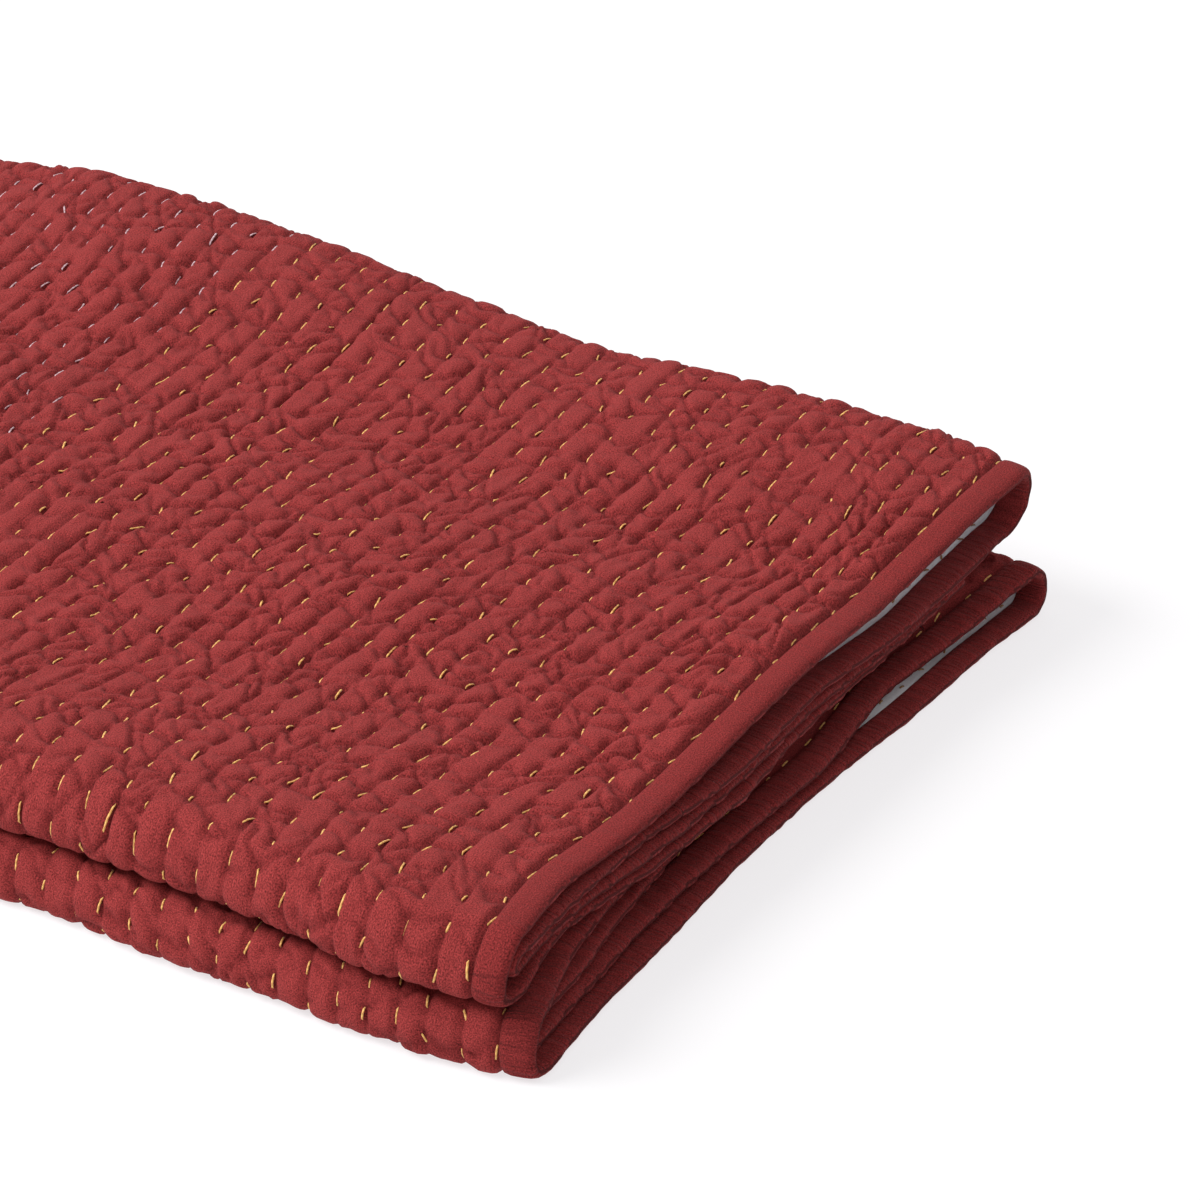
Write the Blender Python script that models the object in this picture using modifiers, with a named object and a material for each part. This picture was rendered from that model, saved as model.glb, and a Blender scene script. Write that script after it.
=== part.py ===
"""A hand-quilted cotton throw, folded into a flat stack of eight layers.

The throw is folded in half twice across its width, white back inside, and then once across its
length, so that both hemmed ends lie together at +X and the crosswise bend lies at -X. Each pack of
four layers has one outer and one inner turn at the near side and one open loop at the far side.
Every face is red and every back is white. A narrow red binding is folded over all four edges.

Lengths are in millimetres here and become metres in the mesh. X runs along the stack, towards the
hemmed end, Y from the near side to the far side, and Z up.
"""
import math
from collections import namedtuple

import bmesh
import bpy
from mathutils import Vector

MM = 0.001

# The throw laid flat
THROW_LENGTH = 1520.0
CREST = 4.2  # thickness of the cloth at the top of a puff
GROOVE = 2.6  # thickness of the cloth along a sewn channel
BOUND = 1.9  # thickness of the cloth inside the binding
BINDING_WIDTH = 12.5
BINDING_THICKNESS = 0.8
BINDING_GAP = 0.45  # between the binding and the cloth it covers
BINDING_SPACE = 0.4  # between two strips of binding that meet

# The folded stack
WIDTH = 331.0  # near side to far loop, at the hemmed end
WIDTH_AT_BEND = 362.0
RUN_COLUMNS = 42  # columns of points from the binding to the bend
BEND_COLUMNS = 8
HEIGHT_NEAR_AT_BEND = 54.0
HEIGHT_FAR_AT_BEND = 74.0
EDGE_AT_BEND = 290.0  # how far the free long edges reach
EDGE_UPPER = 288.0
EDGE_LOWER = 280.0
PACK = 4
LAYERS = 2 * PACK
TURN_STEPS = 5  # facets round an outer turn or a far loop
INNER_TURN_STEPS = 3
PRESSED_CLOTH = 0.9  # what is lower than this is pressed flat on the floor
PRESSED_BINDING = 0.3
SMOOTH_ANGLE = 50.0  # degrees between facets, up to which the shading runs on
BESIDE = 1.0  # how far from a hem's line the next line lies that its direction is taken from
MOST_EVEN = 1.5  # the most that a corner lengthens a thickness

# How high the middle of each layer lies at the hemmed end, at eight places from the near side to
# the far side, and how far its hem stands out at four.
PLACES = (0.0, 60.0, 95.0, 150.0, 205.0, 255.0, 295.0, WIDTH)
HEM_PLACES = (0.0, 110.0, 250.0, WIDTH)
Layer = namedtuple(
    "Layer", "near front crease rise middle valley lift far hem_near hem_front hem_back hem_far"
)
UPPER = {
    "over": Layer(40.4, 41.2, 39.8, 42.4, 42.0, 40.6, 48.6, 52.7, 5, 0, -5, -4),
    "under_loop": Layer(35.1, 34.6, 34.5, 34.6, 34.4, 33.2, 30.8, 27.3, 4, -1, -3, -5),
    "inner": Layer(29.3, 29.1, 29.1, 29.0, 28.6, 27.2, 26.2, 26.0, 4, 1, -3, -6),
    "outer": Layer(24.1, 23.9, 23.8, 23.6, 23.2, 22.2, 21.5, 21.2, 4, 1, -4, -8),
}
LOWER = {
    "over": Layer(2.1, 2.1, 2.1, 2.1, 2.1, 2.1, 2.1, 2.1, 13, 6, 4, 8),
    "under_loop": Layer(7.3, 7.4, 7.4, 7.2, 7.1, 7.0, 7.6, 18.0, 11, 2, -4, 7),
    "inner": Layer(13.6, 13.0, 12.7, 12.4, 12.2, 12.1, 12.1, 12.0, 11, -5, -15, -18),
    "outer": Layer(18.9, 18.3, 18.0, 17.8, 17.6, 17.1, 16.7, 16.5, 7, -7, -17, -20),
}
# The order of the layers from the top of the upper pack, or from the floor up in the lower one
DEPTH = {"over": 0, "under_loop": 1, "inner": 2, "outer": 3}
# How much deeper a loop's under layer sags at the bend, where no free layer lies under it
SAG_AT_BEND = (0, 0, 0, 0, 0, 0, 7, 20)

# Stations across a layer: shares of the way from its near turn to its far one
OVER_SHARES = (0.0, 0.17, 0.285, 0.465, 0.645, 0.81, 0.935, 1.0)
UNDER_SHARES = (1.0, 0.92, 0.82, 0.33, 0.0)
FREE_SHARE = 0.36  # the one station of a free layer between its turn and its bound edge

Paint = namedtuple("Paint", "colour roughness")
CLOTH_PAINT = Paint((0.33, 0.045, 0.042), 0.92)
BINDING_PAINT = Paint((0.36, 0.050, 0.045), 0.90)

MEAN_BEND_RADIUS = (HEIGHT_NEAR_AT_BEND + HEIGHT_FAR_AT_BEND) / 8
BEND_LENGTH = math.pi * MEAN_BEND_RADIUS
BEND_START = (THROW_LENGTH - BEND_LENGTH) / 2


def interpolate(at, places, values):
    """The value at a place, straight between the values at the places on either side."""
    if at <= places[0]:
        return values[0]
    for i in range(1, len(places)):
        if at <= places[i]:
            share = (at - places[i - 1]) / (places[i] - places[i - 1])
            return values[i - 1] + share * (values[i] - values[i - 1])
    return values[-1]


def smooth(share):
    """A share from 0 to 1, eased at both ends."""
    share = min(max(share, 0.0), 1.0)
    return share * share * (3 - 2 * share)


def mix(a, b, share):
    """The value that share of the way from a to b."""
    return a + (b - a) * share


class Section:
    """The line of the cloth across one pack, at one place along the stack."""

    def __init__(self, layers, to_bend, is_upper):
        self.layers = layers
        self.to_bend = to_bend
        self.is_upper = is_upper
        self.width = mix(WIDTH, WIDTH_AT_BEND, to_bend)
        self.edge = mix(EDGE_UPPER if is_upper else EDGE_LOWER, EDGE_AT_BEND, to_bend)

    def stack_height(self, y):
        """The height of the regular stack at the bend."""
        return mix(HEIGHT_NEAR_AT_BEND, HEIGHT_FAR_AT_BEND, y / self.width)

    def regular_height(self, name, y):
        """The height of a layer where the stack is regular."""
        height = self.stack_height(y)
        depth = CREST / 2 + DEPTH[name] * (height - CREST) / (LAYERS - 1)
        if name == "under_loop":
            depth += interpolate(y * WIDTH / self.width, PLACES, SAG_AT_BEND)
        return height - depth if self.is_upper else depth

    def height(self, name, y):
        """The height of the middle of a layer, part of the way from the hem's form to the bend's."""
        scaled = y * WIDTH / self.width
        hem_height = interpolate(scaled, PLACES, self.layers[name][: len(PLACES)])
        return mix(hem_height, self.regular_height(name, y), smooth(self.to_bend))

    def hem(self, name, y):
        """How far a layer's hem stands out."""
        scaled = y * WIDTH / self.width
        return interpolate(scaled, HEM_PLACES, self.layers[name][len(PLACES):])

    def turn_centre(self, first, second, is_far, tip):
        """Where a turn between two layers starts, so that its middle reaches the tip."""
        y = self.width if is_far else 0.0
        radius = abs(self.height(first, y) - self.height(second, y)) / 2
        return tip - radius if is_far else tip + radius

    def point(self, name, y):
        """A point on a layer: across, height, and how far its hem stands out."""
        return (y, self.height(name, y), self.hem(name, y))

    def turn(self, first, second, centre, tip, steps):
        """The points round a turn, between the layers that it joins."""
        low, high = self.height(first, centre), self.height(second, centre)
        points = []
        for step in range(1, steps):
            angle = math.pi * step / steps
            y = centre + (tip - centre) * math.sin(angle)
            z = mix(low, high, (1 - math.cos(angle)) / 2)
            out = mix(self.hem(first, centre), self.hem(second, centre), step / steps)
            points.append((y, z, out))
        return points

    def line(self, rim):
        """All stations, from one free long edge to the other; rim gives those beside each edge."""
        near_centre = self.turn_centre("outer", "over", False, 0.0)
        layer_step = abs(self.height("over", 0.0) - self.height("under_loop", 0.0))
        inner_centre = self.turn_centre("under_loop", "inner", False, layer_step)
        far_centre = self.turn_centre("over", "under_loop", True, self.width)
        free = [self.edge - distance for distance in rim]
        points = [self.point("outer", y) for y in free]
        points.append(self.point("outer", mix(near_centre, self.edge, FREE_SHARE)))
        points.append(self.point("outer", near_centre))
        points += self.turn("outer", "over", near_centre, 0.0, TURN_STEPS)
        points += [self.point("over", mix(near_centre, far_centre, s)) for s in OVER_SHARES]
        points += self.turn("over", "under_loop", far_centre, self.width, TURN_STEPS)
        points += [self.point("under_loop", mix(inner_centre, far_centre, s)) for s in UNDER_SHARES]
        points += self.turn("under_loop", "inner", inner_centre, layer_step, INNER_TURN_STEPS)
        points.append(self.point("inner", inner_centre))
        points.append(self.point("inner", mix(inner_centre, self.edge, FREE_SHARE)))
        points += [self.point("inner", y) for y in reversed(free)]
        return points


def column(along, rim):
    """The line of the cloth across the folded throw, at a distance along it from the top hem."""
    if along <= BEND_START or along >= THROW_LENGTH - BEND_START:
        is_upper = along <= BEND_START
        from_hem = along if is_upper else THROW_LENGTH - along
        to_bend = from_hem / BEND_START
        section = Section(UPPER if is_upper else LOWER, to_bend, is_upper)
        fade = 1 - smooth(to_bend)
        return [Vector((out * fade - from_hem, y, z)) for y, z, out in section.line(rim)]
    angle = math.pi * (along - BEND_START) / BEND_LENGTH
    section = Section(UPPER, 1.0, True)
    points = []
    for y, z, _ in section.line(rim):
        middle = section.stack_height(y) / 2
        radius = z - middle
        x = -BEND_START - radius * math.sin(angle)
        points.append(Vector((x, y, middle + radius * math.cos(angle))))
    return points


def normals(grid):
    """The direction of the red face at each point of a grid of columns, longer where it turns."""
    last_column, last_station = len(grid) - 1, len(grid[0]) - 1
    result = []
    for c, line in enumerate(grid):
        row = []
        for s, point in enumerate(line):
            before, after = line[max(s - 1, 0)], line[min(s + 1, last_station)]
            ahead = grid[min(c + 1, last_column)][s] - grid[max(c - 1, 0)][s]
            arriving = (point - before) if s else (after - point)
            leaving = (after - point) if s < last_station else arriving
            across = arriving.normalized() + leaving.normalized()
            even = min(2 / max(across.length, 1), MOST_EVEN)
            row.append(across.cross(ahead).normalized() * even)
        result.append(row)
    return result


def new_object(name, mesh, paint, collection):
    """An object in the collection, with a matt cloth material of its own."""
    material = bpy.data.materials.new(name + "_cloth")
    material.use_nodes = True
    shader = material.node_tree.nodes["Principled BSDF"]
    shader.inputs["Base Color"].default_value = (*paint.colour, 1.0)
    shader.inputs["Roughness"].default_value = paint.roughness
    shader.inputs["Metallic"].default_value = 0.0
    mesh.materials.append(material)
    mesh.shade_smooth()
    mesh.set_sharp_from_angle(angle=math.radians(SMOOTH_ANGLE))
    item = bpy.data.objects.new(name, mesh)
    collection.objects.link(item)
    return item


def sheet(name, grid, thicknesses, paint, collection):
    """A closed sheet of cloth: a grid moved into the fold, thickened to both sides of its middle."""
    columns, stations = len(grid), len(grid[0])
    shaped = bmesh.new()
    bmesh.ops.create_grid(shaped, x_segments=stations - 1, y_segments=columns - 1, size=1.0)
    mesh = bpy.data.meshes.new(name)
    shaped.to_mesh(mesh)
    shaped.free()
    thickest = max(max(row) for row in thicknesses)
    weights = []
    for vertex in mesh.vertices:
        station = round((vertex.co.x + 1) / 2 * (stations - 1))
        row = round((vertex.co.y + 1) / 2 * (columns - 1))
        vertex.co = grid[row][station] * MM
        weights.append(thicknesses[row][station] / thickest)
    item = new_object(name, mesh, paint, collection)
    group = item.vertex_groups.new(name="thickness")
    for index, weight in enumerate(weights):
        group.add([index], weight, "REPLACE")
    solidify = item.modifiers.new("thickness", "SOLIDIFY")
    solidify.thickness = thickest * MM
    solidify.offset = 0.0
    solidify.use_even_offset = True
    solidify.vertex_group = group.name
    return item


def quilt(collection):
    """The quilted cloth: one sheet, puffed between its sewn channels and thin inside its binding."""
    rim = (BINDING_GAP + BINDING_THICKNESS, BINDING_WIDTH)
    step = (BEND_START - BINDING_WIDTH) / RUN_COLUMNS
    run = [BINDING_WIDTH + step * i for i in range(RUN_COLUMNS)]
    bend = [BEND_START + BEND_LENGTH * i / BEND_COLUMNS for i in range(BEND_COLUMNS + 1)]
    alongs = [rim[0]] + run + bend + [THROW_LENGTH - a for a in reversed(run)] + [THROW_LENGTH - rim[0]]
    grid = [column(along, rim) for along in alongs]
    stations = len(grid[0])
    thicknesses = []
    for i, along in enumerate(alongs):
        is_bound = min(along, THROW_LENGTH - along) <= BINDING_WIDTH
        puffed = CREST if i % 2 == 0 else GROOVE
        row = [BOUND if is_bound or s in (0, 1, stations - 2, stations - 1) else puffed
               for s in range(stations)]
        thicknesses.append(row)
    return sheet("quilt", grid, thicknesses, CLOTH_PAINT, collection), alongs


def binding_profile():
    """The strip folded over an edge: how far in from the edge, and how far from the cloth's middle."""
    half = BOUND / 2 + BINDING_GAP + BINDING_THICKNESS / 2
    edge = BINDING_THICKNESS / 2
    return ((BINDING_WIDTH, half), (edge * 2, half), (edge, 0.0), (edge * 2, -half), (BINDING_WIDTH, -half))


def hem_binding(name, is_top, collection):
    """The binding of one hemmed end, along the whole folded line of the cloth."""
    rim = (0.0, BINDING_WIDTH)
    grid = []
    for inward, lift in binding_profile():
        start = inward if is_top else THROW_LENGTH - inward - BESIDE
        beside = [start, start + BESIDE]
        lines = [column(along, rim) for along in beside]
        own = 0 if is_top else 1
        facing = normals(lines)[own]
        grid.append([point + out * lift for point, out in zip(lines[own], facing)])
    thicknesses = [[BINDING_THICKNESS] * len(grid[0])] * len(grid)
    return sheet(name, grid, thicknesses, BINDING_PAINT, collection)


def long_binding(name, is_first, alongs, collection):
    """The binding of one free long edge, from one hem's binding to the other's."""
    profile = binding_profile()
    inwards = sorted({inward for inward, _ in profile})
    start = BINDING_WIDTH + BINDING_SPACE
    inner = [a for a in alongs if start < a < THROW_LENGTH - start]
    places = [start] + inner + [THROW_LENGTH - start]
    grid = [column(along, inwards) for along in places]
    facing = normals(grid)
    rows = []
    for c, line in enumerate(grid):
        row = []
        for inward, lift in profile:
            station = inwards.index(inward) if is_first else len(line) - 1 - inwards.index(inward)
            row.append(line[station] + facing[c][station] * lift)
        rows.append(row)
    thicknesses = [[BINDING_THICKNESS] * len(profile)] * len(rows)
    return sheet(name, rows, thicknesses, BINDING_PAINT, collection)


def press_on_floor(item, pressed):
    """Make an object's thickness real, and press what is lower than a height flat onto the floor."""
    bpy.context.view_layer.update()
    evaluated = item.evaluated_get(bpy.context.evaluated_depsgraph_get())
    solid = bpy.data.meshes.new_from_object(evaluated)
    for vertex in solid.vertices:
        if vertex.co.z < pressed * MM:
            vertex.co.z = 0.0
    item.modifiers.clear()
    item.data = solid


def centre(items):
    """Put the origin at the middle of the stack's footprint."""
    points = [vertex.co for item in items for vertex in item.data.vertices]
    middle_x = (min(p.x for p in points) + max(p.x for p in points)) / 2
    middle_y = (min(p.y for p in points) + max(p.y for p in points)) / 2
    for item in items:
        for vertex in item.data.vertices:
            vertex.co -= Vector((middle_x, middle_y, 0.0))


def main():
    """Fold the throw, bind its four edges, and set it on the floor."""
    for item in list(bpy.data.objects):
        bpy.data.objects.remove(item)
    collection = bpy.data.collections.new("kantha_quilt")
    bpy.context.scene.collection.children.link(collection)
    cloth, alongs = quilt(collection)
    bindings = [
        hem_binding("binding_hem_top", True, collection),
        hem_binding("binding_hem_bottom", False, collection),
        long_binding("binding_edge_first", True, alongs, collection),
        long_binding("binding_edge_second", False, alongs, collection),
    ]
    press_on_floor(cloth, PRESSED_CLOTH)
    for strip in bindings:
        press_on_floor(strip, PRESSED_BINDING)
    centre([cloth] + bindings)


main()
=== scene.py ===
"""The kantha quilt dressed for its picture: a hand-quilted cotton throw, folded into eight layers.

The cloth is laid out flat first. A place on it is (path, along): path runs across the throw, from
one bound long edge to the other, and is 0 at the tip of the outer turn; along runs from the top hem
to the bottom hem. FoldedThrow says where such a place lies in the folded stack, and Quilting says
how high the cloth puffs there. Lengths are in millimetres here, and become metres in the meshes.
"""

import logging
import math
from dataclasses import dataclass, field
from enum import Enum
from functools import partialmethod
from typing import Any, Iterable, Sequence

import bpy
import numpy as np
from mathutils import Matrix, Vector


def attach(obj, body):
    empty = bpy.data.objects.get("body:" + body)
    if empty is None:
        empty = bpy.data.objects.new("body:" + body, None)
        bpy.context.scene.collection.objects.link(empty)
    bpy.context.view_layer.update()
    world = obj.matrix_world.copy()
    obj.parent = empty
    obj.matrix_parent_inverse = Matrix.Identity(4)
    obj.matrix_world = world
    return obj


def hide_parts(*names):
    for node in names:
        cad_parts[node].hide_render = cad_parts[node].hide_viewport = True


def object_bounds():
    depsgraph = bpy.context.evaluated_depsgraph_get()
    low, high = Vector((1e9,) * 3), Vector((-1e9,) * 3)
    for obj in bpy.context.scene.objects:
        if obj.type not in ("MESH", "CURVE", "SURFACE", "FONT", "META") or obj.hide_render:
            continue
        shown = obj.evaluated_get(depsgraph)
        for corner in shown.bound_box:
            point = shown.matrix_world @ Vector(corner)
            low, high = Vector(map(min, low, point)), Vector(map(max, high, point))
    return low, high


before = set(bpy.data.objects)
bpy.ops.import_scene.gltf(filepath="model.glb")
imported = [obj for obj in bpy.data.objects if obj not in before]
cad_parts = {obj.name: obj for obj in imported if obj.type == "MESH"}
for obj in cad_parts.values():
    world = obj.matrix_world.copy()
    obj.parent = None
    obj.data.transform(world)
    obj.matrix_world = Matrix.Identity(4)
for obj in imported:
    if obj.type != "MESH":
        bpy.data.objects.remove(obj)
CAD_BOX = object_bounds()

MM = 0.001
SEED = 20
LAYERS = 8
TURN = 2 * math.pi
Array = np.ndarray
Table = tuple[float, ...]
Pair = tuple[float, float]
Triple = tuple[float, float, float]
Colour = Triple
log = logging.getLogger("kantha_quilt")


def eased(share: Array) -> Array:
    """Shares from 0 to 1, eased at both ends."""
    share = np.clip(share, 0.0, 1.0)
    return share * share * (3 - 2 * share)


def mixed(a: Any, b: Any, share: Any) -> Any:
    """What lies that share of the way from a to b."""
    return a + (b - a) * share


def between(table: Array, row: Array, column: Array, down: Array, over: Array) -> Array:
    """Values between a table's entries: those shares of the way from a row and column to the next."""
    low, high = (mixed(table[at, column], table[at, column + 1], over) for at in (row, row + 1))
    return mixed(low, high, down)


def valley(distance: Array, width: Any, sharp: float) -> Array:
    """How much a crease draws the cloth in: a sharp line, 1 at its middle, in a wider hollow."""
    line, hollow = np.exp(-((distance / width) ** 1.25)), np.exp(-((distance / (2.6 * width)) ** 2))
    return sharp * line + (1 - sharp) * hollow


def normalized(vectors: Array) -> Array:
    """The same directions, each one long."""
    return vectors / np.maximum(np.linalg.norm(vectors, axis=-1, keepdims=True), 1e-9)


def on_flat(path: Array, along: Array) -> Array:
    """Places on the flat cloth as vectors, for the shaders."""
    return np.stack((path, along, np.zeros_like(path)), -1)


class Pack(Enum):
    """The two packs of four layers that the throw is folded into."""

    UPPER = "upper"
    LOWER = "lower"


@dataclass(frozen=True)
class Layer:
    """One layer of a pack at the hemmed end: the heights of its middle, and how far its hem stands out."""

    heights: Table
    hems: Table


@dataclass
class Lumps:
    """Smooth random unevenness over the flat cloth, from -1 to 1, the same in each run."""

    seed: int
    across: float
    lengthwise: float
    side: int = 256
    table: Array = field(init=False, repr=False)

    def __post_init__(self) -> None:
        """Draw the heights of the lattice, with its first line again after its last."""
        drawn = np.random.default_rng(SEED * 1000 + self.seed).uniform(-1, 1, (self.side, self.side))
        self.table = np.pad(drawn, (0, 1), mode="wrap").T

    def at(self, path: Array, along: Array) -> Array:
        """The unevenness at places on the flat cloth.

        Args:
            path: places across the throw.
            along: places along it.

        Returns:
            A height from -1 to 1 for each place.
        """
        u, v = path / self.across + self.side, along / self.lengthwise + self.side
        i, j = np.floor(u).astype(int), np.floor(v).astype(int)
        return between(self.table, j % self.side, i % self.side, eased(v - j), eased(u - i))


@dataclass
class FoldedThrow:
    """The middle of the cloth, folded in half twice across its width and once across its length."""

    length: float = 1520.0
    width: float = 331.0
    width_at_bend: float = 362.0
    height_near_at_bend: float = 54.0
    height_far_at_bend: float = 74.0
    edge_upper: float = 288.0
    edge_lower: float = 280.0
    edge_at_bend: float = 290.0
    crest: float = 4.2
    softness: float = 8.0
    droop: float = 0.6
    front_overhang: float = 13.0
    near_overhang: float = 2.1
    slack_start: float = 430.0
    path_step: float = 0.5
    knots_in_run: int = 181
    knots_in_bend: int = 91
    # how far past the sides the lines across are known, and how far their softening reaches
    margin: float = 60.0
    reach: int = 40
    lowest: float = 0.02
    places: Table = (0, 30, 60, 95, 150, 190, 232, 262, 285, 331)
    hem_places: Table = (0, 40, 75, 130, 190, 240, 285, 331)
    sag_places: Table = (255, 295, 331)
    sag_at_bend: Table = (0, 7, 20)
    # by the distance from the hems: how much further the sides bulge, and how much higher the top lies
    swell_places: Table = (0, 10, 35, 80, 130, 168, 229, 287, 335, 395, 461, 560, 735)
    swell_far: Table = (6.0, 6.5, 8.0, 8.0, 5.5, 4.5, 6.5, 10, 9.5, 8.5, 3.0, 0.5, 0)
    swell_up: Table = (0.0, 1.4, 4.0, 4.0, 2.8, -0.3, 3.0, 5.8, 7.4, 7.3, -1.6, 0, 0)
    swell_near_upper: Table = (4.4, 5.2, 7.8, 2.6, -2.0, -2.4, -1.0, 0, 0.6, 1.0, 1.0, 0.8, 0)
    swell_near_lower: Table = (3.2, 6.0, 9.6, 7.2, 6.2, 2.2, 2.2, 2.2, 2.2, 2.2, 2.0, 1.6, 0)
    # where across the stack the swells set in, and over what distance: far, near, and by height
    far_side: Pair = (190, 150)
    near_side: Pair = (120, 120)
    upper_part: Pair = (24, 28)
    lower_pack_share: float = 0.5
    depths: dict[str, int] = field(default_factory=lambda: {
        "over": 0, "under_loop": 1, "inner": 2, "outer": 3,
    })
    # the spans of the path across the throw, in the order of the fold, and how long each one is
    spans: dict[str, float] = field(default_factory=lambda: {
        "outer": 280.0, "outer_turn": 26.0, "over": 310.0, "loop": 34.0, "under_loop": 310.0,
        "inner_turn": 9.0, "inner": 280.0,
    })
    layers: dict[Pack, dict[str, Layer]] = field(default_factory=lambda: {
        Pack.UPPER: {
            "over": Layer((41.0, 41.6, 39.6, 39.2, 43.4, 45.0, 42.8, 46.5, 50.2, 51.6),
                          (6.5, -0.4, 1.2, 0, -1.4, -2.6, -0.4, 0)),
            "under_loop": Layer((34.5, 36.0, 34.6, 33.0, 33.4, 32.8, 31.0, 30.0, 29.4, 27.3),
                                (5, 3, -0.3, 3.8, -1.7, 0.5, -2.5, -6.8)),
            "inner": Layer((27.5, 30.6, 29.8, 28.4, 28.4, 27.8, 26.4, 25.6, 25.2, 25.0),
                           (3.8, 0.9, 2.7, 2, -2.2, -1.3, -3.6, -6.2)),
            "outer": Layer((19.9, 25.2, 25.0, 23.8, 23.6, 23.2, 22.0, 21.3, 21.0, 20.8),
                           (6, -1.5, 2.3, 4.2, -2.7, -4.3, -8.2, -10.0)),
        },
        Pack.LOWER: {
            "over": Layer((2.1,) * 10, (15.8, 10.3, 8.5, 3.9, 2.7, 5.2, 4.9, 7.5)),
            "under_loop": Layer((6.5, 6.8, 7.2, 7.5, 7.8, 8.0, 8.2, 8.6, 9.6, 18.0),
                                (10, 6.2, 2.6, 1.3, 2.4, -5.2, -0.8, 7)),
            "inner": Layer((11.0, 11.8, 12.6, 12.6, 12.5, 12.6, 12.8, 13.0, 13.2, 13.4),
                           (7.4, 4.3, -2.4, -8.9, -12.5, -15.8, -17.4, -18.3)),
            "outer": Layer((15.4, 17.0, 18.0, 17.9, 17.6, 17.4, 17.3, 17.3, 17.4, 17.4),
                           (13.4, 0.9, -3.8, -9.5, -13.7, -16.4, -19.2, -20.1)),
        },
    })

    def __post_init__(self) -> None:
        """Fold the throw once, at fine steps, so that any place can be looked up."""
        self.bend_length = math.pi * (self.height_near_at_bend + self.height_far_at_bend) / LAYERS
        self.bend_start = (self.length - self.bend_length) / 2
        self.bend_end = self.length - self.bend_start
        self.starts, at = {}, -self.spans["outer"] - self.spans["outer_turn"] / 2
        self.first_edge = at
        for name, size in self.spans.items():
            self.starts[name] = at
            at += size
        self.last_edge = at
        low, high = (np.array(corner) / MM for corner in CAD_BOX)
        self.shift = np.array((high[0] - self.front_overhang, low[1] + self.near_overhang, 0.0))
        self.across = np.arange(-self.margin, self.width + self.margin, 1.0)
        self.soft_heights: dict[tuple[Pack, str], Array] = {}
        self.soft_hems: dict[tuple[Pack, str], Array] = {}
        for pack, forms in self.layers.items():
            for name, form in forms.items():
                self.soft_heights[pack, name] = self.soft_line(self.places, form.heights)
                self.soft_hems[pack, name] = self.soft_line(self.hem_places, form.hems)
        run = np.linspace(0.0, self.bend_start, self.knots_in_run)
        bend = np.linspace(self.bend_start, self.bend_end, self.knots_in_bend)[1:-1]
        self.knots = np.concatenate((run, bend, self.length - run[::-1]))
        self.paths = np.arange(self.first_edge, self.last_edge + self.path_step, self.path_step)
        self.middle = np.stack([self.line(along) for along in self.knots])
        across = np.gradient(self.middle, axis=1)
        ahead = np.gradient(self.middle, self.knots, axis=0)
        self.normal = normalized(np.cross(across, ahead))
        self.knot_at = self.settle()

    def settle(self) -> Array:
        """Let each layer take the cloth that its own way round the bend needs, from far along its run.

        Returns:
            The knot, in part, that lies at each mm along the cloth, for each path step.
        """
        pieces = np.linalg.norm(np.diff(self.middle, axis=0), axis=-1)
        way = np.concatenate((np.zeros((1, pieces.shape[1])), np.cumsum(pieces, axis=0)))
        half, centre = self.length / 2, len(self.knots) // 2
        first = int(np.searchsorted(self.knots, self.slack_start))
        last = len(self.knots) - 1 - first
        wanted = np.arange(0.0, self.length + 1.0)
        numbers = np.arange(len(self.knots), dtype=float)
        result = np.empty((len(wanted), way.shape[1]))
        for column in range(way.shape[1]):
            cloth = self.knots.copy()
            for start, end, low, high in ((first, centre, self.knots[first], half),
                                          (centre, last, half, self.knots[last])):
                part = way[start:end + 1, column]
                cloth[start:end + 1] = mixed(low, high, (part - part[0]) / (part[-1] - part[0]))
            result[:, column] = np.interp(wanted, cloth, numbers)
        return result

    def soft_line(self, places: Sequence[float], values: Sequence[float]) -> Array:
        """A line across the stack, straight between the places and then softened as cloth is.

        Args:
            places: places from the near side, in mm.
            values: the line's value at each of them.

        Returns:
            Its value at each mm across.
        """
        at, height = np.array(places, float), np.array(values, float)
        straight = np.interp(self.across, at, height)
        last_slope = (height[-1] - height[-2]) / (at[-1] - at[-2])
        first_slope = (height[1] - height[0]) / (at[1] - at[0])
        straight += np.maximum(self.across - at[-1], 0) * last_slope
        straight += np.minimum(self.across - at[0], 0) * first_slope
        weight = np.exp(-((np.arange(-self.reach, self.reach + 1) / self.softness) ** 2) / 2)
        return np.convolve(np.pad(straight, self.reach, mode="edge"), weight / weight.sum(), mode="valid")

    def from_hem(self, along: Array) -> Array:
        """How far places along the throw are from the nearer hem."""
        return np.minimum(along, self.length - along)

    def width_at(self, to_bend: float) -> float:
        """How wide the stack is, part of the way from the hem to the bend."""
        return mixed(self.width, self.width_at_bend, to_bend)

    def height(self, pack: Pack, name: str, across: Any, to_bend: float) -> Array:
        """The height of a layer's middle.

        Args:
            pack: the pack that the layer is in.
            name: the layer.
            across: places from the near side.
            to_bend: the share of the way from the hem to the bend.

        Returns:
            A height for each place.
        """
        width = self.width_at(to_bend)
        scaled = across * self.width / width
        hem_height = np.interp(scaled, self.across, self.soft_heights[pack, name])
        stack = mixed(self.height_near_at_bend, self.height_far_at_bend, across / width)
        depth = self.crest / 2 + self.depths[name] * (stack - self.crest) / (LAYERS - 1)
        if name == "under_loop":
            depth = depth + np.interp(scaled, self.sag_places, self.sag_at_bend)
        regular = stack - depth if pack is Pack.UPPER else depth
        return mixed(hem_height, regular, eased(to_bend))

    def hem(self, pack: Pack, name: str, across: Any, to_bend: float) -> Array:
        """How far a layer's hem stands out, at places from the near side."""
        scaled = across * self.width / self.width_at(to_bend)
        return np.interp(scaled, self.across, self.soft_hems[pack, name])

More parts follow.
